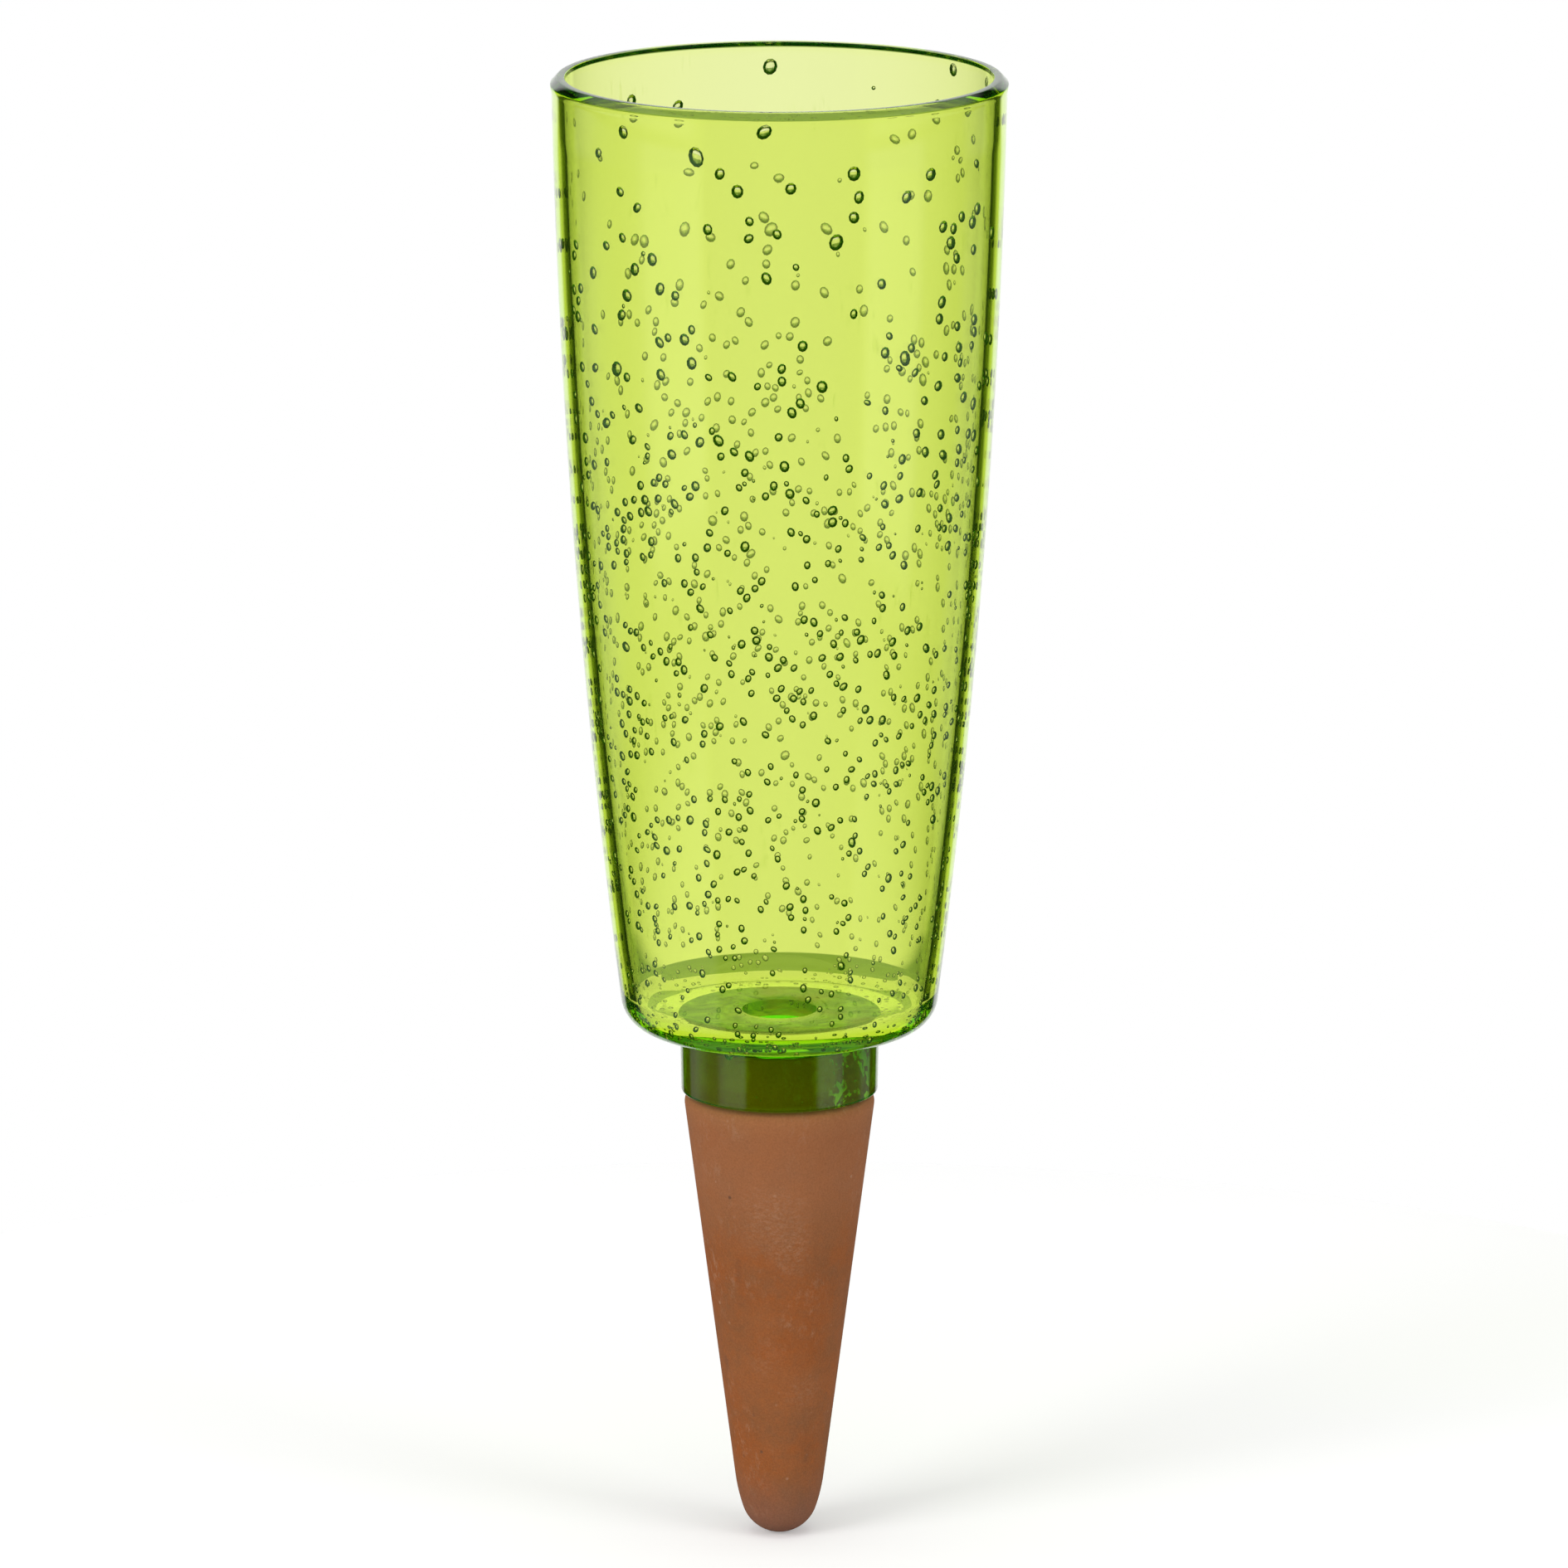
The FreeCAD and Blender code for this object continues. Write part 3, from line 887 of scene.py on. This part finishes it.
def buildCone(c):
    noseLevel = c["tip"] + c["noseRadius"]
    touch = c["noseRadius"] + c["noseSwell"]
    rise = c["shoulder"] - noseLevel
    side = math.degrees(math.atan2(rise, c["shoulderRadius"])
                        - math.acos(touch / math.hypot(c["shoulderRadius"], rise)))
    sideDir = Vector((math.cos(math.radians(side)), math.sin(math.radians(side))))
    alongDir = Vector((-sideDir.y, sideDir.x))
    reach = c["noseBlend"] - c["noseRadius"]
    climb = math.sqrt(reach**2 - (reach - c["noseSwell"]) ** 2)
    noseCentre = Vector((0, noseLevel))
    sideEnd = noseCentre + sideDir * touch + alongDir * climb
    blendCentre = sideEnd - sideDir * c["noseBlend"]
    blendAngle = angleAt(blendCentre, *noseCentre)
    slack = math.tan(math.radians(90 + side) / 2)
    width = c["shoulderRadius"] - c["neck"]
    ease = min(c["shoulderRound"], c["shoulderShare"] * width * slack)
    easeCentre = (c["shoulderRadius"] - ease / slack, c["shoulder"] - ease)

    mouth = Vector((c["mouth"], c["neckTop"]))
    endCentre = Vector((0, c["tip"] + c["noseWall"] + c["chamberEnd"]))
    span = mouth - endCentre
    chamberAngle = math.degrees(math.atan2(span.y, span.x) - math.acos(c["chamberEnd"] / span.length))

    bm = bmesh.new()
    v = startAt(bm, 0, c["tip"] + c["noseWall"])
    v = arcTo(bm, v, endCentre, 90 + chamberAngle, pieces=8)
    v = lineTo(bm, v, mouth.x, mouth.y, pieces=12)
    v = lineTo(bm, v, c["neck"] - c["neckRound"], c["neckTop"], pieces=2)
    v = arcTo(bm, v, (c["neck"] - c["neckRound"], c["neckTop"] - c["neckRound"]), -90, pieces=5)
    v = lineTo(bm, v, c["neck"], c["shoulder"], pieces=4)
    v = lineTo(bm, v, easeCentre[0], c["shoulder"])
    v = arcTo(bm, v, easeCentre, side - 90, pieces=10)
    v = lineTo(bm, v, sideEnd.x, sideEnd.y, pieces=40)
    v = arcTo(bm, v, blendCentre, blendAngle - side, pieces=8)
    arcTo(bm, v, noseCentre, -90 - blendAngle, pieces=16)
    turnSection(bm, c["turns"])
    return bm


makePiece("clayCone", buildCone(cone), terracotta, "clay_cone")
print("clay cone built")


studio = dict(
    cameraPlace=(0.001, -2.20567, 0.59149),
    cameraPitch=76.689,
    lens=235.1,
    sensor=36,
    clipStart=0.05,
    floorLevel=-103.0,
    floorRadius=0.312,
    floorSides=96,
    floorTone=0.8,
    floorGlow=(0.25, 0.1),   # what the camera sees more of it, and what is seen through plastic
    # name, place, aim, size, watts
    lamps=[
        ("leftSoftbox", (-1.5, -1.2, 0.7), (0, 0, 0.05), (0.9, 1.6), 26),
        ("rightSoftbox", (1.6, -1.0, 0.6), (0, 0, 0.05), (0.8, 1.6), 15),
        ("topSoftbox", (0, -0.2, 1.6), (0, 0, 0), (1.2, 1.2), 9),
    ],
)

# What reflections see. A ring gives brightness by the bearing in degrees from straight behind the
# object, rise and fall the elevations between which it comes in and goes out.
backdrop = dict(
    ring=[(-180, 0.0), (-28, 0.0), (-23, 1.0), (23, 1.0), (28, 0.0), (180, 0.0)],
    rise=(-44, -38), fall=(22, 32))
softboxes = dict(
    ring=[(-180, 0.0), (-142, 0.0), (-137, 0.72), (-108, 0.68), (-101, 0.15), (-90, 0.12),
          (-66, 0.5), (-54, 0.35), (-49, 0.0), (46, 0.0), (52, 0.35), (66, 0.4), (74, 0.1),
          (98, 0.15), (104, 0.8), (131, 0.8), (137, 0.0), (180, 0.0)],
    rise=(-20, -17.5), fall=(-13, -10),
    upperShare=0.1, upperFall=(45, 70))   # faint above that
lowBoxes = dict(
    ring=[(-180, 0.0), (-137, 0.0), (-131, 0.5), (-90, 0.6), (-58, 0.6), (-44, 0.0), (44, 0.0),
          (58, 0.3), (100, 0.4), (127, 0.4), (133, 0.0), (180, 0.0)],
    rise=(-36, -31), fall=(-24, -20))
upperLight = dict(tone=(0.8, 0.8, 0.8), rise=(24, 36), fall=(50, 62))
ceiling = dict(tone=(0.5, 0.5, 0.5), rise=(35, 70))
table = dict(tone=(0.25, 0.27, 0.2), fall=(-66, -48))
dimRoom = (0.018, 0.034, 0.008)

# What is seen straight through the plastic: white, a little less on one side and far up, and a
# grey-green gap behind the table.
through = dict(
    gapTone=(0.34, 0.44, 0.24),
    gapRing=[(-180, 0.0), (-52, 0.0), (-40, 1.0), (40, 1.0), (52, 0.0), (180, 0.0)],
    gapFall=(-16.4, -15.3),
    evenness=[(-180, 1.0), (0, 1.0), (8, 0.95), (180, 0.95)],
    whiteFall=(18, 50))
roomTone = (0.45, 0.45, 0.45, 1)   # what lights matte surfaces


def studioWorld():
    world = bpy.data.worlds.new("studio")
    world.use_nodes = True
    tree = world.node_tree
    tree.nodes.clear()
    way = addNode(tree, "ShaderNodeTexCoord").outputs["Generated"]
    axes = addNode(tree, "ShaderNodeSeparateXYZ", {0: way})
    # -180 to 180 degrees from straight behind the object becomes 0 to 1
    bearing = addNode(tree, "ShaderNodeMath", {
        0: axes.outputs["X"], 1: axes.outputs["Y"]}, operation="ARCTAN2")
    share = addNode(tree, "ShaderNodeMapRange", {
        "Value": bearing.outputs[0], "From Min": -math.pi, "From Max": math.pi})

    def ring(stops):
        ramp = addNode(tree, "ShaderNodeValToRGB", {0: share.outputs[0]})
        elements = ramp.color_ramp.elements
        while len(elements) > 1:
            elements.remove(elements[-1])
        elements[0].position = (stops[0][0] + 180) / 360
        elements[0].color = (stops[0][1],) * 3 + (1,)
        for degrees, light in stops[1:]:
            stop = elements.new((degrees + 180) / 360)
            stop.color = (light, light, light, 1)
        return ramp.outputs["Color"]

    def times(first, second):
        return addNode(tree, "ShaderNodeMath", {
            0: first, 1: second}, operation="MULTIPLY").outputs[0]

    def slope(ends, low, high):
        # from low to high between two elevations in degrees
        return addNode(tree, "ShaderNodeMapRange", {
            "Value": axes.outputs["Z"], "From Min": math.sin(math.radians(ends[0])),
            "From Max": math.sin(math.radians(ends[1])), "To Min": low, "To Max": high},
            interpolation_type="SMOOTHSTEP").outputs[0]

    def risen(ends):
        return slope(ends, 0.0, 1.0)

    def sunk(ends):
        return slope(ends, 1.0, 0.0)

    def lit(colour, mask):
        return addNode(tree, "ShaderNodeVectorMath", {
            0: colour, "Scale": mask}, operation="SCALE").outputs[0]

    def blend(mask, under, over):
        return addNode(tree, "ShaderNodeMix", {
            0: mask, 6: under, 7: over}, data_type="RGBA").outputs[2]

    def below(value, limit):
        return addNode(tree, "ShaderNodeMath", {
            0: value, 1: limit}, operation="LESS_THAN").outputs[0]

    faint = times(sunk(softboxes["upperFall"]), softboxes["upperShare"])
    boxFall = addNode(tree, "ShaderNodeMath", {
        0: sunk(softboxes["fall"]), 1: faint}, operation="MAXIMUM").outputs[0]
    mirrored = dimRoom
    for light in (
        lit(ring(backdrop["ring"]), times(risen(backdrop["rise"]), sunk(backdrop["fall"]))),
        lit(ring(softboxes["ring"]), times(risen(softboxes["rise"]), boxFall)),
        lit(ring(lowBoxes["ring"]), times(risen(lowBoxes["rise"]), sunk(lowBoxes["fall"]))),
        lit(upperLight["tone"], times(risen(upperLight["rise"]), sunk(upperLight["fall"]))),
        lit(ceiling["tone"], risen(ceiling["rise"])),
        lit(table["tone"], sunk(table["fall"])),
    ):
        mirrored = addNode(tree, "ShaderNodeVectorMath", {
            0: mirrored, 1: light}, operation="ADD").outputs[0]

    path = addNode(tree, "ShaderNodeLightPath")
    notMatte = below(path.outputs["Diffuse Depth"], 0.5)
    direct = times(below(path.outputs["Glossy Depth"], 0.5), notMatte)
    seen = addNode(tree, "ShaderNodeMath", {
        0: times(direct, path.outputs["Is Transmission Ray"]),
        1: path.outputs["Is Camera Ray"]}, operation="MAXIMUM").outputs[0]
    gap = times(ring(through["gapRing"]), sunk(through["gapFall"]))
    white = lit(blend(gap, (1, 1, 1, 1), (*through["gapTone"], 1)),
                times(sunk(through["whiteFall"]), ring(through["evenness"])))
    white = blend(path.outputs["Is Camera Ray"], white, (1, 1, 1, 1))
    around = blend(times(path.outputs["Is Glossy Ray"], notMatte), roomTone, mirrored)
    sky = addNode(tree, "ShaderNodeBackground", {
        "Color": blend(seen, around, white), "Strength": 1.0})
    addNode(tree, "ShaderNodeOutputWorld", {"Surface": sky.outputs["Background"]})
    scene.world = world


def floorMaterial():
    material, tree = newMaterial("paleFloor")
    tone = studio["floorTone"]
    direct, refracted = studio["floorGlow"]
    matte = addNode(tree, "ShaderNodeBsdfDiffuse", {"Color": (tone, tone, tone, 1)})
    path = addNode(tree, "ShaderNodeLightPath")
    lift = addNode(tree, "ShaderNodeMath", {
        0: path.outputs["Is Camera Ray"], 1: direct}, operation="MULTIPLY")
    seen = addNode(tree, "ShaderNodeMath", {
        0: path.outputs["Is Transmission Ray"], 1: refracted, 2: lift.outputs[0]},
        operation="MULTIPLY_ADD")
    glow = addNode(tree, "ShaderNodeEmission", {"Color": (1, 1, 1, 1), "Strength": seen.outputs[0]})
    both = addNode(tree, "ShaderNodeAddShader", {0: matte.outputs[0], 1: glow.outputs[0]})
    addNode(tree, "ShaderNodeOutputMaterial", {"Surface": both.outputs[0]})
    return material


def softLamp(name, place, target, size, watts):
    data = bpy.data.lights.new(name, "AREA")
    data.shape = "RECTANGLE"
    data.size, data.size_y = size
    data.energy = watts
    lamp = bpy.data.objects.new(name, data)
    lamp.location = place
    lamp.rotation_euler = (Vector(target) - Vector(place)).to_track_quat("-Z", "Y").to_euler()
    lamp.visible_glossy = False
    lamp.visible_transmission = False
    scene.collection.objects.link(lamp)


studioWorld()
ground = bmesh.new()
bmesh.ops.create_circle(
    ground, cap_ends=True, segments=studio["floorSides"], radius=studio["floorRadius"],
    matrix=Matrix.Translation((0, 0, studio["floorLevel"] * mm)))
groundMesh = bpy.data.meshes.new("floor")
ground.to_mesh(groundMesh)
ground.free()
groundMesh.materials.append(floorMaterial())
floor = bpy.data.objects.new("floor", groundMesh)
floor.visible_glossy = False
scene.collection.objects.link(floor)

for lamp in studio["lamps"]:
    softLamp(*lamp)

cameraData = bpy.data.cameras.new("camera")
cameraData.lens = studio["lens"]
cameraData.sensor_width = studio["sensor"]
cameraData.clip_start = studio["clipStart"]
camera = bpy.data.objects.new("camera", cameraData)
camera.location = studio["cameraPlace"]
camera.rotation_euler = (math.radians(studio["cameraPitch"]), 0, 0)
scene.collection.objects.link(camera)
scene.camera = camera

scene.view_settings.view_transform = "Standard"
# light meets many bubbles on its way through both walls
scene.cycles.max_bounces = 40
scene.cycles.transmission_bounces = 36
scene.cycles.glossy_bounces = 28
scene.cycles.transparent_max_bounces = 32
print("studio ready")
